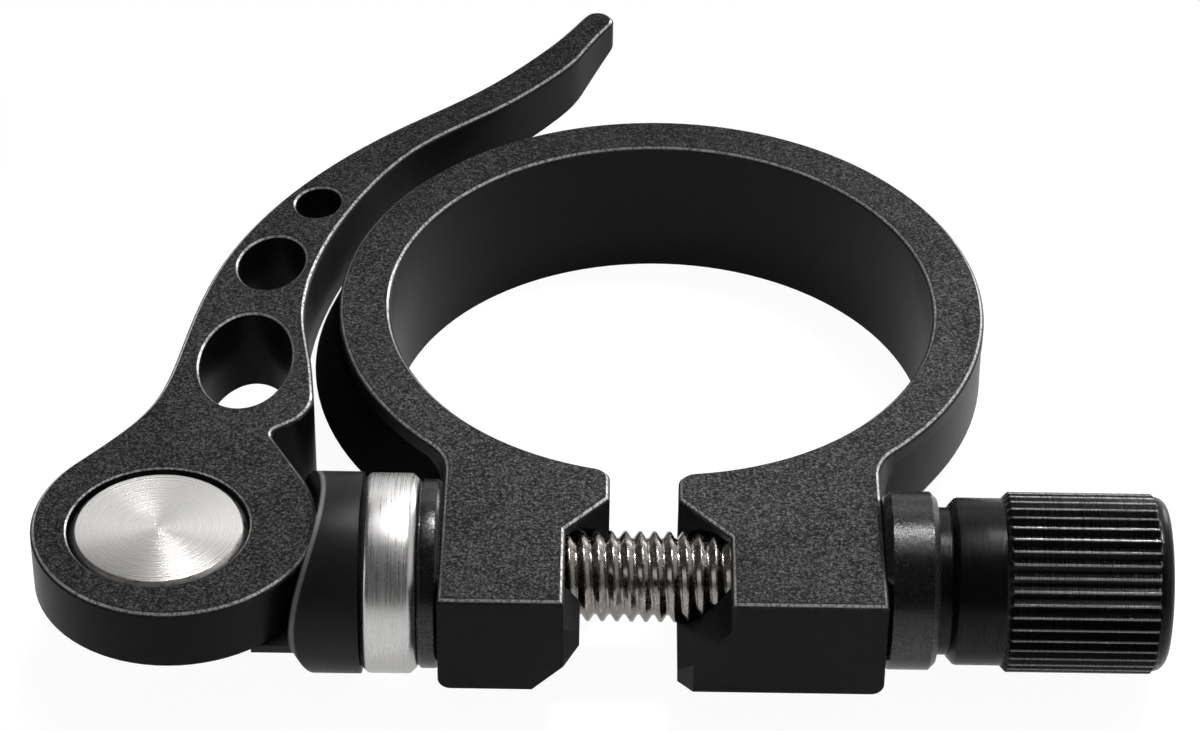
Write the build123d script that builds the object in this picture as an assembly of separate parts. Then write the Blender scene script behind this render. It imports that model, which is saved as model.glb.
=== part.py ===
from build123d import *
import math
import os

# Quick release seatpost clamp: a split collar closed by a cam lever and set by a knurled nut.
# Millimetres. The origin is on the bore's axis at half the collar's height, +Z is up the seat tube,
# the ears point to -Y and the adjusting nut is on the +X side.

# Collar: bore, upright rim, the wall's knee halfway down and its narrow foot
bore_radius = 15.9
collar_height = 8.86
ring_wall = 3.0
ring_rim_height = 1.0
ring_rim_step = 0.05
ring_knee_drop = 4.4
ring_knee_wall = 3.75
ring_knee_shift = -0.75
ring_foot_wall = 1.15
ring_foot_shift = -0.55

# Ears, the slit between them and the bolt's place
ear_width = 24.2
ear_reach = 11.2
ear_wall = 0.53
ear_root_fillet = 3.0
ear_bottom_fillet = 0.7
slit_width = 3.8
slit_offset = -1.0
slit_nose_radius = 1.0
bolt_reach = 5.3

# Notches that open the slit round the bolt
notch_start = 2.3
notch_slant = 2.7
notch_side = 2.4
notch_drop = 1.9
left_chamfer_rise = 2.5
left_chamfer_run = 1.7
right_lip_rise = 0.85
corner_break = 0.85

# Edge breaks
collar_edge = 0.25
lever_edge = 0.25
arm_hole_edge = 0.15
pin_well_edge = 0.12
ear_washer_edge = 0.2
spacer_edge = 0.4
nut_washer_edge = 0.35

# Eye stud
stud_radius = 2.5
stud_clearance = 0.1
eye_radius = 4.0
eye_thickness = 1.6
stud_end_chamfer = 0.5

# Stack on the lever's side
ear_washer_thickness = 1.2
ear_washer_radius = 5.2
spacer_thickness = 3.1
spacer_radius = 5.5
saddle_flange = 2.2
saddle_wall = 2.21
saddle_radius = 5.55
saddle_hollow_radius = 10.6
saddle_shelf_drop = 1.2
saddle_shelf_slant = 1.3
saddle_shelf_reach = 3.6
saddle_slot_gap = 0.2

# Cam head of the lever and its pivot pin
cam_radius = 7.85
cam_throw_x = 0.85
cam_throw_y = 0.45
cam_clearance = 0.2
upper_jaw = 3.6
lower_jaw = 1.2
jaw_gap = 0.1
web_gap = 0.3
finger_radius = 3.5
head_relief = 0.4
pin_head_radius = 4.87
pin_head_height = 1.6
pin_head_proud = -0.1
pin_head_edge = 0.2
pin_head_gap = 0.14
pin_radius = 2.0
pin_clearance = 0.04
pin_end_recess = 0.2
press_gap = 0.01

# Lever arm: points along its edges, by angle about the bore and gap from the ring's wall
lever_taper_thickness = 2.95
lever_tip_run = 7.0
lever_tip_thickness = 1.6
arm_inner_angles = [200, 186, 168, 148, 133, 117, 108.1, 102.5, 96.0]
arm_inner_gaps = [2.4, 2.0, 1.75, 2.0, 2.7, 3.5, 5.1, 6.95, 11.25]
arm_outer_angles = [99.0, 102, 106.5, 118, 133, 152, 172, 188, 198]
arm_outer_gaps = [12.48, 10.6, 8.65, 5.95, 5.25, 5.85, 7.3, 8.95, 11.1]
cam_leave_angle = 140
notch_from_pin = (5.4, 8.5)
heel_from_pin = (7.9, 10.2)
heel_fillet = 3.0
notch_fillet = 0.7

# Oval holes in the arm, from the cam head to the tip, placed in the same way
arm_hole_angles = [194.5, 171.8, 155.2]
arm_hole_gaps = [5.8, 4.45, 3.95]
arm_hole_widths = [5.3, 3.9, 2.7]
arm_hole_lengths = [8.9, 5.4, 3.2]
arm_hole_lean_angles = [-3, -12, -20]

# Stack on the nut's side
nut_washer_thickness = 2.9
nut_washer_radius = 4.9
nut_boss_length = 0.7
nut_boss_radius = 4.05
nut_neck_length = 2.8
nut_neck_radius = 4.6
nut_neck_chamfer = 0.4
nut_knurl_length = 8.75
nut_knurl_radius = 4.95
nut_knurl_count = 42
nut_knurl_depth = 0.32
nut_knurl_chamfer = 0.45
nut_rim_length = 0.4
nut_rim_radius = 4.8
nut_rim_fillet = 0.75
nut_end_wall = 1.6
thread_spare = 2.2
thread_gap = 0.05

# Places that follow from the sizes above
ring_radius = bore_radius + ring_wall
collar_top = collar_height / 2
collar_foot = -collar_height / 2
ear_height = 2 * (stud_radius + stud_clearance + ear_wall)
ear_bottom = collar_top - ear_height
ear_side = ear_width / 2
ear_front = -(bore_radius + ear_reach)
bolt_y = -(bore_radius + bolt_reach)
bolt_z = collar_top - ear_height / 2
slit_left = slit_offset - slit_width / 2
slit_right = slit_offset + slit_width / 2

washer_face = -ear_side - ear_washer_thickness
spacer_face = washer_face - spacer_thickness
cam_reach = cam_radius + math.hypot(cam_throw_x, cam_throw_y)
flange_face = spacer_face - saddle_flange
hollow_face = spacer_face - saddle_wall
pin_x = hollow_face - cam_clearance - cam_radius - cam_throw_x
pin_y = bolt_y
shelf_end = flange_face - saddle_shelf_reach

lever_top = collar_top
jaw_underside = lever_top - upper_jaw
eye_top = jaw_underside - jaw_gap
eye_foot = eye_top - eye_thickness
finger_top = eye_foot - jaw_gap
lever_foot = finger_top - lower_jaw

nut_washer_face = ear_side + nut_washer_thickness
nut_neck_start = nut_washer_face + nut_boss_length
nut_knurl_start = nut_neck_start + nut_neck_length
nut_rim_start = nut_knurl_start + nut_knurl_length
nut_end = nut_rim_start + nut_rim_length
nut_hole_end = nut_end - nut_end_wall
stud_end = nut_hole_end - thread_spare

beyond = 2 * (ring_radius + ear_reach)


def rod(radius, x_from, x_to):
    """A round bar along the bolt's axis."""
    plane = Plane(origin=(x_from, bolt_y, bolt_z), x_dir=(0, 1, 0), z_dir=(1, 0, 0))
    return extrude(plane * Circle(radius), x_to - x_from)


def post(radius, x, y, z_from, z_to):
    """An upright round bar."""
    return extrude(Pos(x, y, z_from) * Circle(radius), z_to - z_from)


def block(x_range, y_range, z_range):
    """A box between two corners."""
    size = [high - low for low, high in (x_range, y_range, z_range)]
    middle = [(high + low) / 2 for low, high in (x_range, y_range, z_range)]
    return Pos(*middle) * Box(*size)


def plan_prism(points, z_from, z_to):
    """An upright prism on a plan outline."""
    return extrude(Pos(0, 0, z_from) * make_face(Polyline(*points, close=True)), z_to - z_from)


def front_prism(points, y_from, y_to):
    """A prism along Y on an outline given as (x, z)."""
    plane = Plane(origin=(0, y_from, 0), x_dir=(1, 0, 0), z_dir=(0, -1, 0))
    return extrude(plane * make_face(Polyline(*points, close=True)), y_from - y_to)


def turned(points):
    """A solid turned about the bolt's axis from a half section given as (x, radius)."""
    plane = Plane(origin=(0, bolt_y, bolt_z), x_dir=(1, 0, 0), z_dir=(0, -1, 0))
    return revolve(plane * make_face(Polyline(*points, close=True)), Axis((0, bolt_y, bolt_z), (1, 0, 0)))


def washer(radius, hole, x_from, x_to, edge):
    """A flat washer on the bolt with both outer edges broken."""
    section = [(x_from, hole), (x_from, radius - edge), (x_from + edge, radius),
               (x_to - edge, radius), (x_to, radius - edge), (x_to, hole)]
    return turned(section)


def by_ring(angle, gap):
    """A plan point at an angle about the bore, a distance outside the ring's wall."""
    reach = ring_radius + gap
    return (reach * math.cos(math.radians(angle)), reach * math.sin(math.radians(angle)))


def make_collar():
    """The split ring with its two ears, slit and bolt hole."""
    rim_foot = collar_top - ring_rim_height
    rounds = [Pos(0, 0, rim_foot) * Circle(ring_radius - ring_rim_step),
              Pos(ring_knee_shift, 0, collar_top - ring_knee_drop) * Circle(bore_radius + ring_knee_wall),
              Pos(ring_foot_shift, 0, collar_foot) * Circle(bore_radius + ring_foot_wall)]
    ring = post(ring_radius, 0, 0, rim_foot, collar_top) + loft(rounds, ruled=True)
    ear_plan = Circle(ring_radius) + Pos(0, ear_front / 2) * Rectangle(ear_width, -ear_front)
    roots = [v for v in ear_plan.vertices() if abs(abs(v.X) - ear_side) < 0.01 and v.Y > bolt_y]
    ear_plan = fillet(roots, ear_root_fillet)
    root_line = -math.sqrt((ring_radius + ear_root_fillet) ** 2 - (ear_side + ear_root_fillet) ** 2)
    root_line *= ring_radius / (ring_radius + ear_root_fillet)
    ears = extrude(Pos(0, 0, ear_bottom) * ear_plan, ear_height)
    ears &= block((-beyond, beyond), (-beyond, root_line), (-beyond, beyond))
    long_edges = [e for e in ears.edges().filter_by(Axis.Y) if abs(abs(e.center().X) - ear_side) < 0.01
                  and e.center().Z < bolt_z]
    ears = fillet(long_edges, ear_bottom_fillet)
    collar = ring + ears - post(bore_radius, 0, 0, -beyond, beyond)
    collar -= block((slit_left, slit_right), (-beyond, 0), (-beyond, beyond))
    noses = [e for e in collar.edges().filter_by(Axis.Z) if min(abs(e.center().X - slit_left),
             abs(e.center().X - slit_right)) < 0.01 and e.center().Y > -bore_radius - 0.01]
    collar = fillet(noses, slit_nose_radius)
    collar -= left_notch()
    collar -= right_notch()
    collar -= rod(stud_radius + stud_clearance, -beyond, beyond)
    rims = [e for e in collar.edges() if e.center().Z > collar_top - 0.001]
    return chamfer(rims, collar_edge)


def notch_plan(side, sign):
    """The plan outline of a notch, slanting away from the slit and out through the front."""
    start = -bore_radius - notch_start
    run = 3 * notch_side
    return [(slit_offset, start), (side, start), (side + sign * run, start - run * notch_slant / notch_side),
            (side + sign * run, -beyond), (slit_offset, -beyond)]


def corner_cut(side, sign):
    """The broken upright corner between a notch's wall and the front face."""
    outside = ear_front - corner_break
    return plan_prism([(side, ear_front + corner_break), (side, outside),
                       (side + sign * 2 * corner_break, outside)], -beyond, beyond)


def left_notch():
    """Cutter for the ear on the lever's side, with a large chamfer under the bolt."""
    rim = slit_left - notch_side
    wall = rim + corner_break
    knee = ear_bottom + left_chamfer_rise
    foot = rim - left_chamfer_run
    slope = (foot - wall) / left_chamfer_rise
    front = [(slit_offset, beyond), (rim, beyond), (rim, collar_top - notch_drop),
             (wall, collar_top - notch_drop - corner_break), (wall, knee),
             (foot + slope * left_chamfer_rise, ear_bottom - left_chamfer_rise),
             (slit_offset, ear_bottom - left_chamfer_rise)]
    cutter = front_prism(front, 0, -beyond) & plan_prism(notch_plan(slit_left, -1), -beyond, beyond)
    return cutter + corner_cut(wall, -1)


def right_notch():
    """Cutter for the ear on the nut's side, which keeps a lip under the bolt."""
    rim = slit_right + notch_side + corner_break / 2
    lip = ear_bottom + right_lip_rise
    front = [(slit_offset, beyond), (rim, beyond), (rim, collar_top - notch_drop), (slit_right, lip),
             (slit_offset, lip)]
    cutter = front_prism(front, 0, -beyond) & plan_prism(notch_plan(slit_right, 1), -beyond, beyond)
    return cutter + corner_cut(slit_right, 1)


def make_saddle():
    """The concave bearing block between the cam and the spacer, with a shelf under the cam."""
    shelf_foot = bolt_z - saddle_shelf_drop
    side = [(spacer_face, bolt_z + saddle_radius), (spacer_face, bolt_z - saddle_radius),
            (flange_face, bolt_z - saddle_radius), (flange_face - saddle_shelf_slant, shelf_foot),
            (shelf_end, shelf_foot), (shelf_end, bolt_z + saddle_radius)]
    saddle = rod(saddle_radius, shelf_end, spacer_face) & front_prism(side, 0, -beyond)
    hollow_x = hollow_face - saddle_hollow_radius
    saddle -= post(saddle_hollow_radius, hollow_x, pin_y, jaw_underside - jaw_gap, beyond)
    saddle -= rod(stud_radius + stud_clearance, -beyond, 0)
    slot = stud_radius + saddle_slot_gap
    slot_sides = (bolt_y - slot, bolt_y + slot)
    return saddle - block((-beyond, flange_face), slot_sides, (-beyond, eye_top + jaw_gap))


def make_stud():
    """The threaded rod with a flat eye, lower than its axis, under the cam head."""
    tip = stud_end - stud_end_chamfer
    section = [(pin_x, 0), (pin_x, stud_radius), (tip, stud_radius),
               (stud_end, stud_radius - stud_end_chamfer), (stud_end, 0)]
    stud = turned(section)
    for level in ((-beyond, eye_foot), (eye_top, beyond)):
        stud -= block((-beyond, flange_face), (-beyond, beyond), level)
    reach = hollow_face - pin_x
    flat = Pos(pin_x + reach / 2, pin_y) * Rectangle(reach, 2 * stud_radius)
    flat += Pos(pin_x, pin_y) * Circle(eye_radius)
    stud += extrude(Pos(0, 0, eye_foot) * flat, eye_thickness)
    return stud - post(pin_radius + pin_clearance, pin_x, pin_y, -beyond, beyond)


def lever_outline():
    """The plan outline of the cam head and the arm, as one face."""
    cam = Vector(pin_x + cam_throw_x, pin_y + cam_throw_y)
    notch = Vector(pin_x + notch_from_pin[0], pin_y + notch_from_pin[1])
    heel = Vector(pin_x + heel_from_pin[0], pin_y + heel_from_pin[1])
    to_notch = notch - cam
    flank_angle = math.atan2(to_notch.Y, to_notch.X) - math.acos(cam_radius / to_notch.length)
    leave_angle = math.radians(cam_leave_angle)
    flank = cam + Vector(math.cos(flank_angle), math.sin(flank_angle)) * cam_radius
    leave = cam + Vector(math.cos(leave_angle), math.sin(leave_angle)) * cam_radius
    front = cam - Vector(0, cam_radius)
    into_head = Vector(-math.sin(leave_angle), math.cos(leave_angle))
    inner = [Vector(*by_ring(*point)) for point in zip(arm_inner_angles, arm_inner_gaps)]
    outer = [Vector(*by_ring(*point)) for point in zip(arm_outer_angles, arm_outer_gaps)]
    tip_across = inner[-1] - outer[0]
    tip_way = Vector(-tip_across.Y, tip_across.X).normalized()
    tip = (inner[-1] + outer[0]) * 0.5 + tip_way * (tip_across.length / 2)
    face = make_face([
        Line(heel, inner[0]),
        Spline(*inner, tangents=[(inner[0] - heel).normalized(), tip_way]),
        ThreePointArc(inner[-1], tip, outer[0]),
        Spline(*outer, leave, tangents=[-tip_way, into_head]),
        ThreePointArc(leave, front, flank),
        Line(flank, notch),
        Line(notch, heel),
    ])
    for corner, radius in ((heel, heel_fillet), (notch, notch_fillet)):
        face = fillet(face.vertices().sort_by_distance(corner)[0], radius)
    return face


def arm_hole(angle, gap, width, length, lean):
    """Cutter for an oval hole through the arm, its long axis near +Y and its upper rim broken."""
    place = Pos(*by_ring(angle, gap)) * Rot(0, 0, lean)
    oval = Ellipse(width / 2, length / 2)
    wide_oval = Ellipse(width / 2 + arm_hole_edge, length / 2 + arm_hole_edge)
    rim = place * Pos(0, 0, lever_top) * wide_oval
    flare = loft([place * Pos(0, 0, lever_top - arm_hole_edge) * oval, rim])
    return extrude(place * Pos(0, 0, -beyond) * oval, 2 * beyond) + flare


def under_wedge():
    """Cutter that thins the lever evenly from the cam head, then rounds its underside up to the tip."""
    tip_y = by_ring(arm_outer_angles[0], arm_outer_gaps[0])[1]
    slope = (lever_top - lever_taper_thickness - lever_foot) / (tip_y - pin_y)
    near, bend = [(y, lever_foot + slope * (y - pin_y)) for y in (-beyond, tip_y - lever_tip_run)]
    tip = (tip_y, lever_top - lever_tip_thickness)
    outline = make_face([
        Line(near, bend),
        TangentArc(bend, tip, tangent=(1, slope)),
        Polyline(tip, (beyond, tip[1]), (beyond, -2 * beyond), (-beyond, -2 * beyond), near),
    ])
    return extrude(Plane.YZ.offset(-beyond) * outline, 2 * beyond)


def make_lever():
    """The cam lever: a thick upper jaw, a finger under the eye and a tapering arm with three holes."""
    lever = extrude(Pos(0, 0, lever_foot) * lever_outline(), lever_top - lever_foot)
    lever = chamfer(lever.faces().sort_by(Axis.Z)[-1].edges(), lever_edge)
    lever -= under_wedge()
    finger = post(finger_radius, pin_x, pin_y, -beyond, beyond)
    finger += block((pin_x - finger_radius, pin_x + finger_radius), (pin_y, beyond), (-beyond, beyond))
    relief = post(cam_reach + head_relief, pin_x, pin_y, -beyond, jaw_underside)
    lever -= relief - finger
    eye_room = pin_y + eye_radius + web_gap
    lever -= block((-beyond, 0), (-beyond, eye_room), (finger_top, jaw_underside))
    lever -= post(pin_radius + press_gap, pin_x, pin_y, -beyond, beyond)
    seat = lever_top + pin_head_proud - pin_head_height
    well = pin_head_radius + pin_head_gap
    lever -= post(well, pin_x, pin_y, seat, beyond)
    lever -= Pos(pin_x, pin_y, lever_top - pin_well_edge / 2) * Cone(well, well + pin_well_edge, pin_well_edge)
    ovals = zip(arm_hole_angles, arm_hole_gaps, arm_hole_widths, arm_hole_lengths, arm_hole_lean_angles)
    for oval in ovals:
        lever -= arm_hole(*oval)
    return lever


def make_pin():
    """The pivot pin: a wide flat head sunk in the lever and a shank through the eye."""
    foot = lever_foot + pin_end_recess
    top = lever_top + pin_head_proud
    seat = top - pin_head_height
    section = [(0, foot), (pin_radius, foot), (pin_radius, seat), (pin_head_radius, seat),
               (pin_head_radius, top - pin_head_edge), (pin_head_radius - pin_head_edge, top), (0, top)]
    pin = revolve(Plane.XZ * make_face(Polyline(*section, close=True)), Axis.Z)
    return Pos(pin_x, pin_y) * pin


def make_nut():
    """The knurled adjusting nut: boss, smooth neck, straight knurl and a rounded end."""
    boss = rod(nut_boss_radius, nut_washer_face, nut_neck_start)
    neck = turned([(nut_neck_start, 0), (nut_neck_start, nut_neck_radius - nut_neck_chamfer),
                   (nut_neck_start + nut_neck_chamfer, nut_neck_radius),
                   (nut_knurl_start, nut_neck_radius), (nut_knurl_start, 0)])
    ridges = []
    for step in range(2 * nut_knurl_count):
        radius = nut_knurl_radius - nut_knurl_depth * (step % 2)
        angle = math.pi * step / nut_knurl_count
        ridges.append((radius * math.cos(angle), radius * math.sin(angle)))
    plane = Plane(origin=(nut_knurl_start, bolt_y, bolt_z), x_dir=(0, 1, 0), z_dir=(1, 0, 0))
    knurl = extrude(plane * make_face(Polyline(*ridges, close=True)), nut_knurl_length)
    low = nut_knurl_radius - nut_knurl_chamfer
    knurl &= turned([(nut_knurl_start, 0), (nut_knurl_start, low),
                     (nut_knurl_start + nut_knurl_chamfer, nut_knurl_radius),
                     (nut_rim_start - nut_knurl_chamfer, nut_knurl_radius),
                     (nut_rim_start, low), (nut_rim_start, 0)])
    rim = rod(nut_rim_radius, nut_rim_start - nut_knurl_chamfer, nut_end)
    rim = fillet(rim.edges().sort_by(Axis.X)[-1], nut_rim_fillet)
    nut = boss + neck + knurl + rim
    return nut - rod(stud_radius + thread_gap, nut_washer_face, nut_hole_end)


def make_parts():
    """Every piece of the clamp by name."""
    hole = stud_radius + stud_clearance
    return {
        "clamp_collar": make_collar(),
        "eye_stud": make_stud(),
        "ear_washer": washer(ear_washer_radius, hole, washer_face, -ear_side, ear_washer_edge),
        "steel_spacer": washer(spacer_radius, hole, spacer_face, washer_face, spacer_edge),
        "cam_saddle": make_saddle(),
        "qr_lever": make_lever(),
        "pivot_pin": make_pin(),
        "nut_washer": washer(nut_washer_radius, hole, ear_side, nut_washer_face, nut_washer_edge),
        "adjusting_nut": make_nut(),
    }


os.makedirs("parts", exist_ok=True)
for name, piece in make_parts().items():
    export_step(piece, f"parts/{name}.step")
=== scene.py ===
import logging
import math
from dataclasses import dataclass, field
from enum import Enum
from typing import Any, Mapping, Optional, Sequence

import bmesh
import bpy
from mathutils import Matrix, Vector


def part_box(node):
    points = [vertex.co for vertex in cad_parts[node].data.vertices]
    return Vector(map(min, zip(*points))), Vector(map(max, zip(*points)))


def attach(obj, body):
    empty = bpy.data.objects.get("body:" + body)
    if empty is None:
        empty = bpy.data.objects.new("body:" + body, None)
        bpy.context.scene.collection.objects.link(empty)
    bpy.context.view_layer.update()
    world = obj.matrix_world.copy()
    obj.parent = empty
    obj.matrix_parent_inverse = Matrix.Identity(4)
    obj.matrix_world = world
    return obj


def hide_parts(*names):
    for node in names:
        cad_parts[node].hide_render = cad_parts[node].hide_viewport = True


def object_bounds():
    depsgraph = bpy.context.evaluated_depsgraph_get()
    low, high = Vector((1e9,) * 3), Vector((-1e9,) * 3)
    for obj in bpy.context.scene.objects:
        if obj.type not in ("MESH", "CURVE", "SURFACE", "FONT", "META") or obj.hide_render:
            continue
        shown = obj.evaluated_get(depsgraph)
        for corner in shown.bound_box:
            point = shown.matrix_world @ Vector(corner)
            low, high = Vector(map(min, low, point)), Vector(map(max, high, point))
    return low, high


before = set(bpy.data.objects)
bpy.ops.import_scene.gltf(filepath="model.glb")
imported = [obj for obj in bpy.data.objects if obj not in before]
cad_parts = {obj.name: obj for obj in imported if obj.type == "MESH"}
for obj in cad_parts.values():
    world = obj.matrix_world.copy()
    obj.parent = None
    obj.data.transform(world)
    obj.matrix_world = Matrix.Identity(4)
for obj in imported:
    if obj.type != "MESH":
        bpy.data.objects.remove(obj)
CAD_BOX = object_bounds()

# Dresses the quick release seatpost clamp and lights it in a small white studio. Lengths are metres.

LOG = logging.getLogger("seatpost_clamp")
MM = 0.001
MERGE = 1e-7
FLAT_TURN = math.radians(0.5)
MARK_DEPTH = 0.01 * MM
MARK_RELIEF = 0.1

Colour = tuple[float, float, float, float]
Profile = Sequence[tuple[float, float]]


def grey(level: float, warmth: float = 0.0) -> Colour:
    """A neutral colour, turned a little towards yellow by warmth or towards blue if that is negative."""
    return (level * (1 + warmth), level, level * (1 - warmth), 1.0)


class Body(Enum):
    """The bodies that pieces ride on."""

    COLLAR = "collar"
    LEVER = "lever"
    NUT = "nut"


class Along(Enum):
    """The axis that a piece is turned about, with a direction square to it."""

    BOLT = ((1.0, 0.0, 0.0), (0.0, 0.0, 1.0))
    UPRIGHT = ((0.0, 0.0, 1.0), (1.0, 0.0, 0.0))

    @property
    def axis(self) -> Vector:
        """The turning axis."""
        return Vector(self.value[0])

    @property
    def side(self) -> Vector:
        """A direction square to the turning axis."""
        return Vector(self.value[1])


class Graph:
    """A node tree with short calls that add nodes and join them."""

    def __init__(self, tree: bpy.types.NodeTree) -> None:
        """Keeps the tree that the calls work on.

        Args:
            tree: A material's, a world's or a group's node tree.
        """
        self.tree = tree

    def add(self, kind: str, inputs: Optional[Mapping[Any, Any]] = None, **settings: Any) -> bpy.types.Node:
        """Adds one node.

        Args:
            kind: Blender's name for the node's type.
            inputs: Input sockets by name or number, each with a value or with a socket to link from.
            **settings: Attributes of the node itself.

        Returns:
            The new node.
        """
        node = self.tree.nodes.new(kind)
        for name, value in settings.items():
            setattr(node, name, value)
        self.wire(node, inputs or {})
        return node

    def wire(self, node: bpy.types.Node, inputs: Mapping[Any, Any]) -> None:
        """Fills a node's inputs.

        Args:
            node: The node.
            inputs: Input sockets by name or number, each with a value or with a socket to link from.
        """
        for key, value in inputs.items():
            if isinstance(value, bpy.types.NodeSocket):
                self.tree.links.new(value, node.inputs[key])
            else:
                node.inputs[key].default_value = value

    def math(self, operation: str, first: Any, second: Any = 0.0, third: Any = 0.0) -> bpy.types.NodeSocket:
        """Adds a Math node and returns its output."""
        return self.add("ShaderNodeMath", {0: first, 1: second, 2: third}, operation=operation).outputs[0]

    def remap(self, value: Any, low: float, high: float, start: float = 0.0,
              end: float = 1.0, smooth: bool = True) -> bpy.types.NodeSocket:
        """Maps a value from one span to another, held at the ends.

        Args:
            value: The socket to map.
            low: The value that gives start.
            high: The value that gives end.
            start: The result at low.
            end: The result at high.
            smooth: Whether the step eases in and out.

        Returns:
            The mapped output.
        """
        kind = "SMOOTHSTEP" if smooth else "LINEAR"
        spans = {"Value": value, "From Min": low, "From Max": high, "To Min": start, "To Max": end}
        return self.add("ShaderNodeMapRange", spans, interpolation_type=kind).outputs["Result"]

    def mix(self, factor: Any, first: Any, second: Any) -> bpy.types.NodeSocket:
        """Mixes two colours.

        Args:
            factor: The share of the second colour.
            first: The colour at a factor of 0.
            second: The colour at a factor of 1.

        Returns:
            The mixed output.
        """
        node = self.add("ShaderNodeMix", data_type="RGBA")
        numbers = {socket.name: number for number, socket in enumerate(node.inputs) if socket.enabled}
        self.wire(node, {numbers["Factor"]: factor, numbers["A"]: first, numbers["B"]: second})
        return next(socket for socket in node.outputs if socket.enabled)

    def relief(self, height: Any, strength: float, depth: float) -> bpy.types.NodeSocket:
        """Adds a Bump node and returns its normal."""
        bump = self.add("ShaderNodeBump", {"Height": height, "Strength": strength, "Distance": depth})
        return bump.outputs["Normal"]

    def distance(self, axes: str, centre: tuple[float, float]) -> bpy.types.NodeSocket:
        """Measures how far the surface is from a straight line along one of the object's axes.

        Args:
            axes: The letters of the two axes square to the line.
            centre: Where the line stands on those two.

        Returns:
            The distance in metres.
        """
        place = self.add("ShaderNodeTexCoord").outputs["Object"]
        parts = self.add("ShaderNodeSeparateXYZ", {"Vector": place}).outputs
        offsets = {axis: self.math("SUBTRACT", parts[axis], middle) for axis, middle in zip(axes, centre)}
        section = self.add("ShaderNodeCombineXYZ", offsets).outputs["Vector"]
        return self.add("ShaderNodeVectorMath", {0: section}, operation="LENGTH").outputs["Value"]

    def stretched(self, scale: tuple[float, float, float]) -> bpy.types.NodeSocket:
        """The object's own coordinates, scaled along each axis."""
        place = self.add("ShaderNodeTexCoord").outputs["Object"]
        return self.add("ShaderNodeMapping", {"Vector": place, "Scale": scale}).outputs["Vector"]


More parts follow.
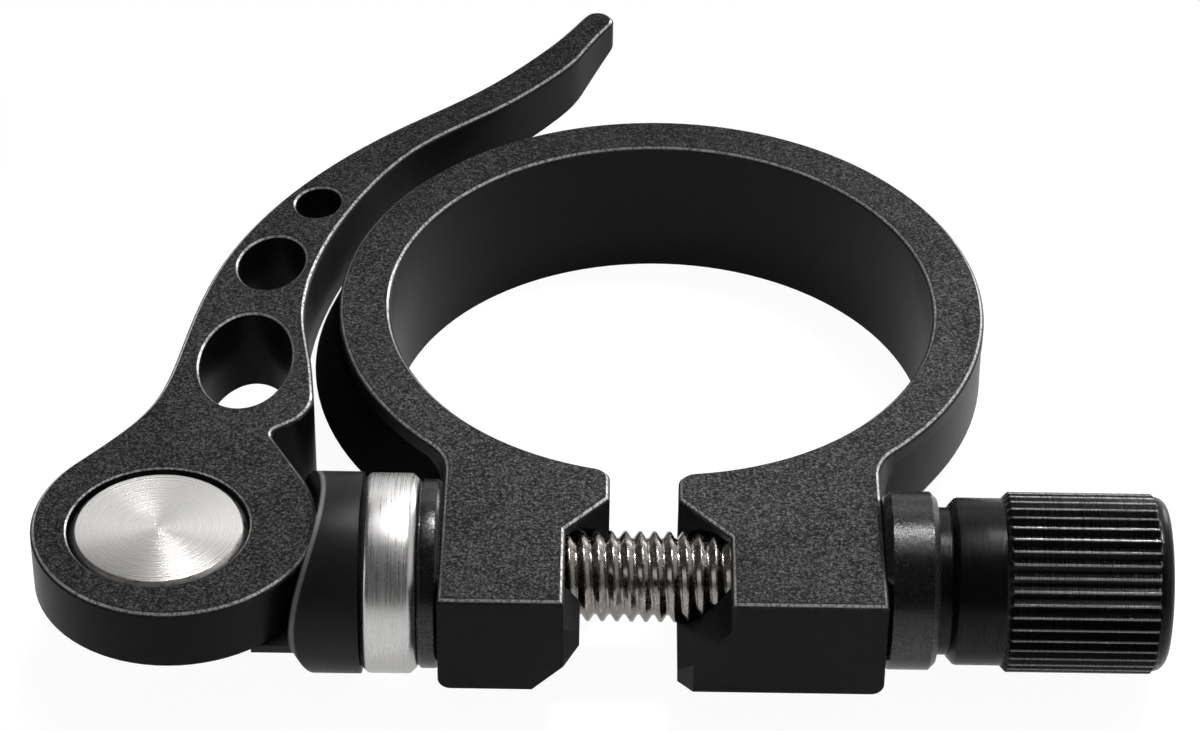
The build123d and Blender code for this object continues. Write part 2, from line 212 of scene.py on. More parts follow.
class EffectLibrary:
    """Shader effects that more than one finish uses, each built once as a node group."""

    FLECK_SPAN = (0.36, 0.7)
    FLECK_POWER = 2.2
    FACET_SHARE = 0.3
    BROAD_SCALE = 0.04
    BROAD_SPAN = (0.3, 0.7, -0.05, 0.05)
    # EDGE_NEAR and EDGE_FAR keep a thin band in the middle of each chamfer: a painted highlight line standing
    # in for the shine of a rounded edge.
    EDGE_NEAR = (0.06, 0.2)
    EDGE_FAR = (0.66, 0.42)
    LEAN_STEEP = (0.3, 0.5)
    LEAN_FLAT = (0.97, 0.88)
    SPARK_SCALE = 7000.0
    SPARK_SPAN = (0.34, 0.58, 0.28, 1.0)
    LEVEL_SPAN = (0.6, 0.95)

    def __init__(self) -> None:
        """Builds every group."""
        self.blast = self._blast_grain()
        self.broken_edge = self._broken_edge()
        self.up_facing = self._up_facing()

    @staticmethod
    def _group(name: str, inputs: Mapping[str, float],
               outputs: Sequence[str]) -> tuple[Graph, Any, bpy.types.Node]:
        """Makes an empty group with float sockets.

        Args:
            name: The group's name.
            inputs: Each input's name and default.
            outputs: The names of the outputs.

        Returns:
            The group's graph, the outputs of its input node, and its output node.
        """
        tree = bpy.data.node_groups.new(name, "ShaderNodeTree")
        for socket, value in inputs.items():
            made = tree.interface.new_socket(socket, in_out="INPUT", socket_type="NodeSocketFloat")
            made.default_value = value
        for socket in outputs:
            tree.interface.new_socket(socket, in_out="OUTPUT", socket_type="NodeSocketFloat")
        graph = Graph(tree)
        return graph, graph.add("NodeGroupInput").outputs, graph.add("NodeGroupOutput")

    def _blast_grain(self) -> bpy.types.NodeTree:
        """Makes the fine pits of a bead blasted surface.

        Returns:
            A group that puts out a grain mask and a height.
        """
        graph, given, made = self._group("blast_grain", {"Grain Size": 0.2 * MM}, ("Grain", "Height"))
        place = graph.add("ShaderNodeTexCoord").outputs["Object"]
        per_metre = graph.math("DIVIDE", 1.0, given["Grain Size"])
        fine = graph.add("ShaderNodeTexNoise", {"Vector": place, "Scale": per_metre, "Detail": 2.5,
                                                "Roughness": 0.7})
        pits = graph.add("ShaderNodeTexVoronoi", {"Vector": place, "Scale": per_metre}, feature="F1")
        facet = graph.add("ShaderNodeSeparateColor", {"Color": pits.outputs["Color"]}).outputs["Red"]
        wide = graph.math("MULTIPLY", per_metre, self.BROAD_SCALE)
        broad = graph.add("ShaderNodeTexNoise", {"Vector": place, "Scale": wide, "Detail": 2.0})
        bright = graph.remap(fine.outputs["Fac"], *self.FLECK_SPAN, smooth=False)
        fleck = graph.math("POWER", bright, self.FLECK_POWER)
        speck = graph.math("MULTIPLY_ADD", facet, self.FACET_SHARE, -self.FACET_SHARE / 2)
        lift = graph.remap(broad.outputs["Fac"], *self.BROAD_SPAN, smooth=False)
        grain = graph.math("ADD", graph.math("ADD", fleck, speck), lift)
        height = graph.math("ADD", fine.outputs["Fac"], graph.math("MULTIPLY", facet, self.FACET_SHARE))
        graph.wire(made, {"Grain": graph.math("MAXIMUM", grain, 0.0), "Height": height})
        return graph.tree

    def _broken_edge(self) -> bpy.types.NodeTree:
        """Marks a thin band on the slanting faces just under a level, the broken upper edges. The band is
        partly worn bare edge and partly a painted highlight for the shine of a rounded edge.

        Returns:
            A group that puts out a plain mask and one that sparkles.
        """
        graph, given, made = self._group("broken_edge", {"Level": 0.0, "Depth": 0.3 * MM}, ("Mask", "Glint"))
        coords = graph.add("ShaderNodeTexCoord").outputs
        height = graph.add("ShaderNodeSeparateXYZ", {"Vector": coords["Object"]}).outputs["Z"]
        slope = graph.add("ShaderNodeSeparateXYZ", {"Vector": coords["Normal"]}).outputs["Z"]
        drop = graph.math("DIVIDE", graph.math("SUBTRACT", given["Level"], height), given["Depth"])
        line = graph.math("MULTIPLY", graph.remap(drop, *self.EDGE_NEAR), graph.remap(drop, *self.EDGE_FAR))
        leaning = graph.math("MULTIPLY", graph.remap(slope, *self.LEAN_STEEP),
                             graph.remap(slope, *self.LEAN_FLAT))
        mask = graph.math("MULTIPLY", line, leaning)
        spark = graph.add("ShaderNodeTexNoise", {"Vector": coords["Object"], "Scale": self.SPARK_SCALE,
                                                 "Detail": 1.0})
        glint = graph.math("MULTIPLY", mask, graph.remap(spark.outputs["Fac"], *self.SPARK_SPAN))
        graph.wire(made, {"Mask": mask, "Glint": glint})
        return graph.tree

    def _up_facing(self) -> bpy.types.NodeTree:
        """Marks the level faces that look up. They take the blasted roughness and relief, and a lighter colour
        than the walls, which is painted light.

        Returns:
            A group that puts out the mask.
        """
        graph, _, made = self._group("up_facing", {}, ("Mask",))
        normal = graph.add("ShaderNodeTexCoord").outputs["Normal"]
        slope = graph.add("ShaderNodeSeparateXYZ", {"Vector": normal}).outputs["Z"]
        graph.wire(made, {"Mask": graph.remap(slope, *self.LEVEL_SPAN)})
        return graph.tree


@dataclass(frozen=True)
class Finish:
    """What every finish shares: its name, its gloss and a new material to fill."""

    name: str
    specular: float = 0.5

    def start(self) -> tuple[bpy.types.Material, Graph, bpy.types.Node]:
        """Makes an empty material.

        Returns:
            The material, its graph and its Principled BSDF.
        """
        material = bpy.data.materials.new(self.name)
        material.use_nodes = True
        material.node_tree.nodes.clear()
        graph = Graph(material.node_tree)
        surface = graph.add("ShaderNodeBsdfPrincipled", {"Specular IOR Level": self.specular})
        graph.add("ShaderNodeOutputMaterial", {"Surface": surface.outputs["BSDF"]})
        return material, graph, surface

    def build(self, effects: EffectLibrary) -> bpy.types.Material:
        """Makes the material, which each kind of finish does in its own way.

        Args:
            effects: The shared node groups.

        Returns:
            The finished material.
        """
        raise NotImplementedError(self.name)


@dataclass(frozen=True)
class BlastedAnodise(Finish):
    """Bead blasted and black anodised aluminium with edges broken after the blast. Its upward faces are painted
    lighter than its walls, which is painted light over a real blasted finish. Its broken edges carry a thin
    bright line that is partly bare metal and partly a painted highlight.
    """

    lit_top: Colour = grey(0.125, -0.01)
    pit: Colour = grey(0.003, -0.01)
    shaded_wall: Colour = grey(0.006)
    wall_fleck: Colour = grey(0.011)
    bare_edge_and_highlight: Colour = grey(0.58)
    bare_and_highlight_share: float = 0.92
    top_roughness: float = 0.6
    wall_roughness: float = 0.34
    edge_roughness: float = 0.3
    grain_size: float = 0.14 * MM
    pit_relief: float = 0.6
    pit_depth: float = 0.03 * MM
    wall_relief: float = 0.25
    edge_level: float = 4.43 * MM
    edge_depth: float = 0.27 * MM

    def build(self, effects: EffectLibrary) -> bpy.types.Material:
        """Makes the material.

        Args:
            effects: The shared node groups.

        Returns:
            The finished material.
        """
        material, graph, surface = self.start()
        grain = graph.add("ShaderNodeGroup", node_tree=effects.blast)
        graph.wire(grain, {"Grain Size": self.grain_size})
        edge = graph.add("ShaderNodeGroup", node_tree=effects.broken_edge)
        graph.wire(edge, {"Level": self.edge_level, "Depth": self.edge_depth})
        level = graph.add("ShaderNodeGroup", node_tree=effects.up_facing).outputs["Mask"]
        # Painted light: upward faces mix to lit_top and walls to the darker shaded_wall, on top of the blast
        # grain.
        blasted = graph.mix(grain.outputs["Grain"], self.pit, self.lit_top)
        shaded_wall = graph.mix(grain.outputs["Grain"], self.shaded_wall, self.wall_fleck)
        skin = graph.mix(level, shaded_wall, blasted)
        # Partly worn bare metal and partly a painted highlight: the bright band on the broken edges stands in
        # for a rounded edge's shine.
        colour = graph.mix(edge.outputs["Glint"], skin, self.bare_edge_and_highlight)
        metal = graph.math("MULTIPLY", edge.outputs["Glint"], self.bare_and_highlight_share)
        satin = graph.remap(level, 0.0, 1.0, self.wall_roughness, self.top_roughness)
        keep = graph.math("SUBTRACT", 1.0, edge.outputs["Mask"])
        kept = graph.math("MULTIPLY", satin, keep)
        rough = graph.math("MULTIPLY_ADD", edge.outputs["Mask"], self.edge_roughness, kept)
        share = graph.remap(level, 0.0, 1.0, self.wall_relief, 1.0)
        height = graph.math("MULTIPLY", grain.outputs["Height"], share)
        normal = graph.relief(height, self.pit_relief, self.pit_depth)
        graph.wire(surface, {"Base Color": colour, "Roughness": rough, "Metallic": metal, "Normal": normal})
        return material


@dataclass(frozen=True)
class SmoothAnodise(Finish):
    """Turned and black anodised aluminium, semi-gloss, with faint tool marks along the bolt.

    The crests are bright metal from the first radius of crest_reach to the second, partly worn anodise and
    partly a painted highlight for the light that rounded crests catch. The default lies past every piece.
    """

    colour: Colour = grey(0.0018)
    worn: Colour = grey(0.005)
    roughness: float = 0.27
    mark_pitch: float = 0.06 * MM
    mark_length: float = 4.0 * MM
    mark_relief: float = 0.05
    # crest is the colour of the bright band: partly worn bare metal, partly painted highlight.
    crest: Colour = grey(0.24)
    crest_share: float = 0.85
    crest_spark: float = 0.4
    crest_reach: tuple[float, float] = (1.0, 1.1)
    axis: tuple[float, float] = (0.0, 0.0)

    def build(self, effects: EffectLibrary) -> bpy.types.Material:
        """Makes the material.

        Args:
            effects: The shared node groups.

        Returns:
            The finished material.
        """
        material, graph, surface = self.start()
        spacing = (1 / self.mark_pitch, 1 / self.mark_length, 1 / self.mark_length)
        marks = graph.add("ShaderNodeTexNoise", {"Vector": graph.stretched(spacing), "Scale": 1.0,
                                                 "Detail": 2.0})
        grain = graph.add("ShaderNodeGroup", node_tree=effects.blast)
        graph.wire(grain, {"Grain Size": 2 * self.mark_pitch})
        skin = graph.mix(graph.remap(grain.outputs["Grain"], 0.2, 1.0), self.colour, self.worn)
        # Bright band on the crests, or on the saddle's rim: partly worn anodise, partly painted highlight.
        worn_highlight = self.crest_mask(graph)
        colour = graph.mix(worn_highlight, skin, self.crest)
        spark = graph.remap(grain.outputs["Grain"], 0.0, 1.0, self.crest_spark, 1.0)
        metal = graph.math("MULTIPLY", graph.math("MULTIPLY", worn_highlight, spark), self.crest_share)
        rough = graph.remap(marks.outputs["Fac"], 0.3, 0.7, self.roughness - 0.02, self.roughness + 0.04)
        normal = graph.relief(marks.outputs["Fac"], self.mark_relief, MARK_DEPTH)
        graph.wire(surface, {"Base Color": colour, "Roughness": rough, "Metallic": metal, "Normal": normal})
        return material

    def crest_mask(self, graph: Graph) -> bpy.types.NodeSocket:
        """Marks what stands further from the bolt's axis than a radius, such as the crests of a knurl."""
        return graph.remap(graph.distance("YZ", self.axis), *self.crest_reach)


@dataclass(frozen=True)
class SaddleAnodise(SmoothAnodise):
    """Smooth black anodise with a bright line along the rim of a hollow about an upright axis: partly rubbing
    wear and partly a painted highlight on the rounded rim.
    """

    hollow: float = 8.0 * MM
    rim_near: tuple[float, float] = (0.03 * MM, 0.12 * MM)
    rim_far: tuple[float, float] = (0.36 * MM, 0.22 * MM)

    def crest_mask(self, graph: Graph) -> bpy.types.NodeSocket:
        """Marks a narrow band just outside the hollow, which carries the rim's painted highlight and wear."""
        beyond = graph.math("SUBTRACT", graph.distance("XY", self.axis), self.hollow)
        return graph.math("MULTIPLY", graph.remap(beyond, *self.rim_near), graph.remap(beyond, *self.rim_far))


@dataclass(frozen=True)
class StainlessSteel(Finish):
    """Bright stainless steel with fine tool marks that run round the piece."""

    dark: Colour = grey(0.58, 0.015)
    light: Colour = grey(0.68, 0.015)
    roughness: float = 0.34
    mark_scale: tuple[float, float, float] = (15000.0, 160.0, 160.0)
    anisotropy: float = 0.5

    def build(self, effects: EffectLibrary) -> bpy.types.Material:
        """Makes the material.

        Args:
            effects: The shared node groups.

        Returns:
            The finished material.
        """
        material, graph, surface = self.start()
        graph.wire(surface, {"Metallic": 1.0, "Anisotropic": self.anisotropy})
        marks = graph.add("ShaderNodeTexNoise", {"Vector": graph.stretched(self.mark_scale), "Scale": 1.0,
                                                 "Detail": 3.0, "Roughness": 0.65})
        streak = graph.remap(marks.outputs["Fac"], 0.3, 0.7)
        grain = graph.add("ShaderNodeGroup", node_tree=effects.blast)
        colour = graph.mix(streak, self.dark, self.light)
        blur = graph.remap(grain.outputs["Grain"], 0.0, 1.0, self.roughness, self.roughness + 0.05)
        rough = graph.math("ADD", graph.remap(streak, 0.0, 1.0, -0.05, 0.07), blur)
        normal = graph.relief(marks.outputs["Fac"], MARK_RELIEF, MARK_DEPTH)
        round_bolt = graph.add("ShaderNodeTangent", direction_type="RADIAL", axis="X").outputs["Tangent"]
        graph.wire(surface, {"Base Color": colour, "Roughness": rough, "Normal": normal, "Tangent": round_bolt})
        return material


@dataclass(frozen=True)
class TurnedFace(Finish):
    """Stainless steel faced on a lathe: fine rings about an upright axis."""

    centre: tuple[float, float] = (0.0, 0.0)
    dark: Colour = grey(0.52, 0.02)
    light: Colour = grey(0.7, 0.02)
    roughness: float = 0.26
    ring_pitch: float = 0.06 * MM
    anisotropy: float = 0.8
    spread_turn: float = 0.25

    def build(self, effects: EffectLibrary) -> bpy.types.Material:
        """Makes the material.

        Args:
            effects: The shared node groups; not used.

        Returns:
            The finished material.
        """
        material, graph, surface = self.start()
        graph.wire(surface, {"Metallic": 1.0, "Anisotropic": self.anisotropy,
                             "Anisotropic Rotation": self.spread_turn})
        count = graph.math("DIVIDE", graph.distance("XY", self.centre), self.ring_pitch)
        rings = graph.add("ShaderNodeTexNoise", {"W": count, "Scale": 1.0, "Detail": 3.0, "Roughness": 0.7},
                          noise_dimensions="1D")
        streak = graph.remap(rings.outputs["Fac"], 0.3, 0.7)
        colour = graph.mix(streak, self.dark, self.light)
        rough = graph.remap(streak, 0.0, 1.0, self.roughness - 0.04, self.roughness + 0.06)
        normal = graph.relief(rings.outputs["Fac"], MARK_RELIEF, MARK_DEPTH)
        round_pin = graph.add("ShaderNodeTangent", direction_type="RADIAL", axis="Z").outputs["Tangent"]
        graph.wire(surface, {"Base Color": colour, "Roughness": rough, "Normal": normal, "Tangent": round_pin})
        return material


@dataclass
class Maker:
    """Turns bmeshes into finished pieces and dresses the solids that stay."""

    effects: EffectLibrary
    materials: dict[str, bpy.types.Material] = field(default_factory=dict)

    def material(self, finish: Finish) -> bpy.types.Material:
        """Builds a finish the first time that it is asked for.

        Args:
            finish: The finish.

        Returns:
            Its material.
        """
        if finish.name not in self.materials:
            self.materials[finish.name] = finish.build(self.effects)
        return self.materials[finish.name]

    def dress(self, node: str, finish: Finish) -> None:
        """Gives a solid of the frame its finish.

        Args:
            node: The solid's name.
            finish: The finish to wear.
        """
        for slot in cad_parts[node].material_slots:
            slot.material = self.material(finish)
        LOG.info("%s wears %s", node, finish.name)

    def settle(self, bm: bmesh.types.BMesh, name: str, body: Body, node: str,
               finish: Finish, sharp: float = 30.0) -> bpy.types.Object:
        """Makes a piece from a bmesh and lets it stand for a solid of the frame.

        Args:
            bm: The finished shape, which is freed.
            name: The piece's name.
            body: The body that it rides on.
            node: The solid that it stands for.
            finish: The finish to wear.
            sharp: Edges that turn by more degrees than this stay crisp.

        Returns:
            The piece.
        """
        mesh = bpy.data.meshes.new(name)
        bm.to_mesh(mesh)
        bm.free()
        for polygon in mesh.polygons:
            polygon.use_smooth = True
        mesh.set_sharp_from_angle(angle=math.radians(sharp))
        mesh.materials.append(self.material(finish))
        piece = bpy.data.objects.new(name, mesh)
        bpy.context.scene.collection.objects.link(piece)
        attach(piece, body.value)
        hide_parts(node)
        LOG.info("%s stands for %s with %d faces", name, node, len(mesh.polygons))
        return piece


def spun(profile: Profile, centre: Vector, along: Along, steps: int, closed: bool) -> bmesh.types.BMesh:
    """Turns a half section about an axis.

    Args:
        profile: Points as (distance along the axis from the centre, radius).
        centre: A point on the axis.
        along: The axis.
        steps: Facets in a full turn.
        closed: Whether the last point joins the first, as in a ring.

    Returns:
        A closed shape.
    """
    bm = bmesh.new()
    verts = [bm.verts.new(centre + along.axis * far + along.side * radius) for far, radius in profile]
    edges = [bm.edges.new(pair) for pair in zip(verts, verts[1:])]
    if closed:
        edges.append(bm.edges.new((verts[-1], verts[0])))
    bmesh.ops.spin(bm, geom=verts + edges, cent=centre, axis=along.axis, angle=math.tau, steps=steps,
                   use_merge=True, use_duplicate=False)
    bmesh.ops.remove_doubles(bm, verts=bm.verts, dist=MERGE)
    bmesh.ops.recalc_face_normals(bm, faces=bm.faces)
    return bm


def soften(bm: bmesh.types.BMesh, offset: float, segments: int, turn: float = 25.0) -> None:
    """Rounds every edge that turns by more than an angle.

    Args:
        bm: The shape.
        offset: How far the rounding reaches from the edge.
        segments: Facets across the rounding.
        turn: The angle in degrees.
    """
    edges = [e for e in bm.edges if e.is_manifold and e.calc_face_angle() > math.radians(turn)]
    bmesh.ops.bevel(bm, geom=edges, offset=offset, segments=segments, profile=0.5, affect="EDGES", material=-1,
                    clamp_overlap=True)


def merged_copy(node: str) -> bmesh.types.BMesh:
    """A solid's mesh with its triangles joined and its flat faces made whole.

    Args:
        node: The solid's name.

    Returns:
        The copy.
    """
    bm = bmesh.new()
    bm.from_mesh(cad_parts[node].data)
    bmesh.ops.remove_doubles(bm, verts=bm.verts, dist=MERGE)
    bmesh.ops.recalc_face_normals(bm, faces=bm.faces)
    bmesh.ops.dissolve_limit(bm, angle_limit=FLAT_TURN, verts=bm.verts, edges=bm.edges)
    return bm


def bolt_span(node: str) -> tuple[Vector, float, float]:
    """The place of a round solid on the bolt's axis.

    Args:
        node: The solid's name.

    Returns:
        The centre of its left end, its length and its outer radius.
    """
    low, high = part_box(node)
    middle = (low + high) / 2
    return Vector((low.x, middle.y, middle.z)), high.x - low.x, (high.z - low.z) / 2


BLASTED = BlastedAnodise("black_blasted_anodise", specular=0.08)
GLOSS = SmoothAnodise("black_washer_anodise", specular=0.42, colour=grey(0.003), worn=grey(0.008),
                      roughness=0.25, mark_pitch=0.16 * MM, mark_length=0.16 * MM, mark_relief=0.6)
SPACER_STEEL = StainlessSteel("brushed_stainless", roughness=0.28)
EVEN_MARKS = (2500.0, 2500.0, 2500.0)
# Painted shade: the pin's bevel wears a darker copy of the pin's steel so that it reads dim.
SHADED_BEVEL_STEEL = StainlessSteel("shaded_bevel_steel", dark=grey(0.4, 0.05), light=grey(0.5, 0.05),
                             roughness=0.32, mark_scale=EVEN_MARKS, anisotropy=0.0)
# Painted shade: the thread's steel is far darker than the spacer's, standing in for the shade that falls on it
# between the ears.
SHADED_THREAD_STEEL = StainlessSteel("shaded_thread_steel", dark=grey(0.22, 0.07), light=grey(0.34, 0.07),
                              roughness=0.2, mark_scale=EVEN_MARKS, anisotropy=0.0)


@dataclass
class Collar:
    """The split ring and its ears."""

    node: str = "clamp_collar"

    def dress(self, maker: Maker) -> None:
        """Gives the collar its blasted finish."""
        maker.dress(self.node, BLASTED)


@dataclass
class CamLever:
    """The lever and the pivot pin that is sunk in its head."""

    head_radius: float = 4.87 * MM
    head_height: float = 1.6 * MM
    shank_radius: float = 2.0 * MM
    head_edge: float = 0.34 * MM
    head_round: float = 0.05 * MM
    face_tilt: float = 0.97
    steps: int = 128

    def pin_profile(self, length: float) -> Profile:
        """The pin's half section, from its foot.

        Args:
            length: The pin's whole length.

        Returns:
            Points as (height, radius).
        """
        seat = length - self.head_height
        shoulder = length - self.head_edge
        return [(0.0, 0.0), (0.0, self.shank_radius), (seat, self.shank_radius), (seat, self.head_radius),
                (shoulder, self.head_radius), (length, self.head_radius - self.head_edge), (length, 0.0)]

    def build(self, maker: Maker) -> None:
        """Dresses the lever and makes the pin.

        Args:
            maker: What makes pieces and finishes.
        """
        maker.dress("qr_lever", BLASTED)
        low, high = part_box("pivot_pin")
        middle = (low + high) / 2
        foot = Vector((middle.x, middle.y, low.z))
        bm = spun(self.pin_profile(high.z - low.z), foot, Along.UPRIGHT, self.steps, closed=False)
        soften(bm, self.head_round, 2)
        face = TurnedFace("turned_pin_face", centre=(middle.x, middle.y))
        pin = maker.settle(bm, "turned_pin", Body.LEVER, "pivot_pin", face)
        pin.data.materials.append(maker.material(SHADED_BEVEL_STEEL))
        for polygon in pin.data.polygons:
            polygon.material_index = 0 if polygon.normal.z > self.face_tilt else 1


@dataclass
class StudStack:
    """The threaded stud and what sits on it beside the lever."""

    pitch: float = 0.8 * MM
    thread_depth: float = 0.38 * MM
    crest: float = 0.2
    root: float = 0.18
    turn_steps: int = 56
    thread_merge: float = 0.005 * MM
    thread_sharp: float = 80.0
    rod_lead: float = 2.0 * MM
    hole_radius: float = 2.6 * MM
    spacer_edge: float = 0.4 * MM
    washer_edge: float = 0.2 * MM
    edge_round: float = 0.3
    saddle_edge: float = 0.5 * MM
    saddle_turn: float = 40.0
    saddle_wall: float = 2.21 * MM
    saddle_hollow: float = 10.6 * MM
    steps: int = 128

    def ring(self, node: str, edge: float) -> bmesh.types.BMesh:
        """A washer with rounded outer edges.

        Args:
            node: The solid that gives its size and place.
            edge: How far the rounding reaches.

        Returns:
            The shape.
        """
        start, length, radius = bolt_span(node)
        profile = [(0.0, self.hole_radius), (0.0, radius - edge), (edge, radius), (length - edge, radius),
                   (length, radius - edge), (length, self.hole_radius)]
        bm = spun(profile, start, Along.BOLT, self.steps, closed=True)
        soften(bm, self.edge_round * edge, 2)
        return bm

    def thread(self, start: float, end: float, centre: Vector, radius: float) -> bmesh.types.BMesh:
        """A rod with a helical thread, cut square at both ends.

        Args:
            start: Where the rod begins along the bolt.
            end: Where it ends.
            centre: A point on its axis.
            radius: The thread's outer radius.

        Returns:
            The closed shape.
        """
        bm = bmesh.new()
        inner = radius - self.thread_depth
        flank = (1 - self.crest - self.root) / 2
        steps = [(0.0, inner), (self.root, inner), (self.root + flank, radius), (1 - flank, radius),
                 (1.0, inner)]
        first = start - self.pitch
        verts = [bm.verts.new((first + share * self.pitch, centre.y, centre.z + reach))
                 for share, reach in steps]
        edges = [bm.edges.new(pair) for pair in zip(verts, verts[1:])]
        turns = math.ceil((end - start) / self.pitch) + 2
        bmesh.ops.spin(bm, geom=verts + edges, cent=centre, axis=Along.BOLT.axis, angle=math.tau * turns,
                       dvec=Along.BOLT.axis * (self.pitch / self.turn_steps), steps=self.turn_steps * turns,
                       use_merge=False, use_duplicate=False)
        bmesh.ops.remove_doubles(bm, verts=bm.verts, dist=self.thread_merge)
        for place, side in ((start, -1), (end, 1)):
            bmesh.ops.bisect_plane(bm, geom=bm.verts[:] + bm.edges[:] + bm.faces[:], dist=MERGE,
                                   plane_co=(place, 0.0, 0.0), plane_no=(side, 0.0, 0.0), clear_outer=True)
            rim = [e for e in bm.edges
                   if e.is_boundary and all(abs(v.co.x - place) < MERGE * 10 for v in e.verts)]
            bmesh.ops.edgeloop_fill(bm, edges=rim)
        bmesh.ops.recalc_face_normals(bm, faces=bm.faces)
        return bm

    def eye(self, bm: bmesh.types.BMesh, cut: float) -> None:
        """Adds the stud's flat eye, up to a cut across the bolt.

        Args:
            bm: The rod that the eye is added to.
            cut: Where the eye ends along the bolt.
        """
        flat = bmesh.new()
        flat.from_mesh(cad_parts["eye_stud"].data)
        bmesh.ops.remove_doubles(flat, verts=flat.verts, dist=MERGE)
        bmesh.ops.bisect_plane(flat, geom=flat.verts[:] + flat.edges[:] + flat.faces[:], dist=MERGE,
                               plane_co=(cut, 0.0, 0.0), plane_no=(1.0, 0.0, 0.0), clear_outer=True)
        bmesh.ops.holes_fill(flat, edges=[e for e in flat.edges if e.is_boundary])
        bmesh.ops.recalc_face_normals(flat, faces=flat.faces)
        side = bpy.data.meshes.new("eye_flat")
        flat.to_mesh(side)
        flat.free()
        bm.from_mesh(side)
        bpy.data.meshes.remove(side)

    def saddle(self) -> bmesh.types.BMesh:
        """Rounds the edges of the bearing block.

        Returns:
            The shape.
        """
        bm = merged_copy("cam_saddle")
        soften(bm, self.saddle_edge, 4, turn=self.saddle_turn)
        return bm

    def build(self, maker: Maker) -> None:
        """Makes the stud, the washer, the spacer and the saddle.

        Args:
            maker: What makes pieces and finishes.
        """
        low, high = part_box("eye_stud")
        rod_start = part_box("steel_spacer")[0].x - self.rod_lead
        centre = bolt_span("steel_spacer")[0]
        bm = self.thread(rod_start, high.x, centre, high.z - centre.z)
        self.eye(bm, rod_start)
        maker.settle(bm, "threaded_eye_stud", Body.COLLAR, "eye_stud", SHADED_THREAD_STEEL,
                     sharp=self.thread_sharp)
        maker.settle(self.ring("steel_spacer", self.spacer_edge), "brushed_spacer", Body.COLLAR, "steel_spacer",
                     SPACER_STEEL)
        maker.settle(self.ring("ear_washer", self.washer_edge), "thin_ear_washer", Body.COLLAR, "ear_washer",
                     GLOSS)
        hollow_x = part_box("steel_spacer")[0].x - self.saddle_wall - self.saddle_hollow
        # The saddle's rim line is partly rubbing wear and partly a painted highlight on its rounded edge.
        worn_and_highlit = SaddleAnodise("black_satin_anodise", specular=0.15, colour=grey(0.008), worn=grey(0.018),
                               roughness=0.4, crest=grey(0.16), crest_share=0.7,
                               axis=(hollow_x, centre.y), hollow=self.saddle_hollow)
        maker.settle(self.saddle(), "softened_saddle", Body.COLLAR, "cam_saddle", worn_and_highlit)


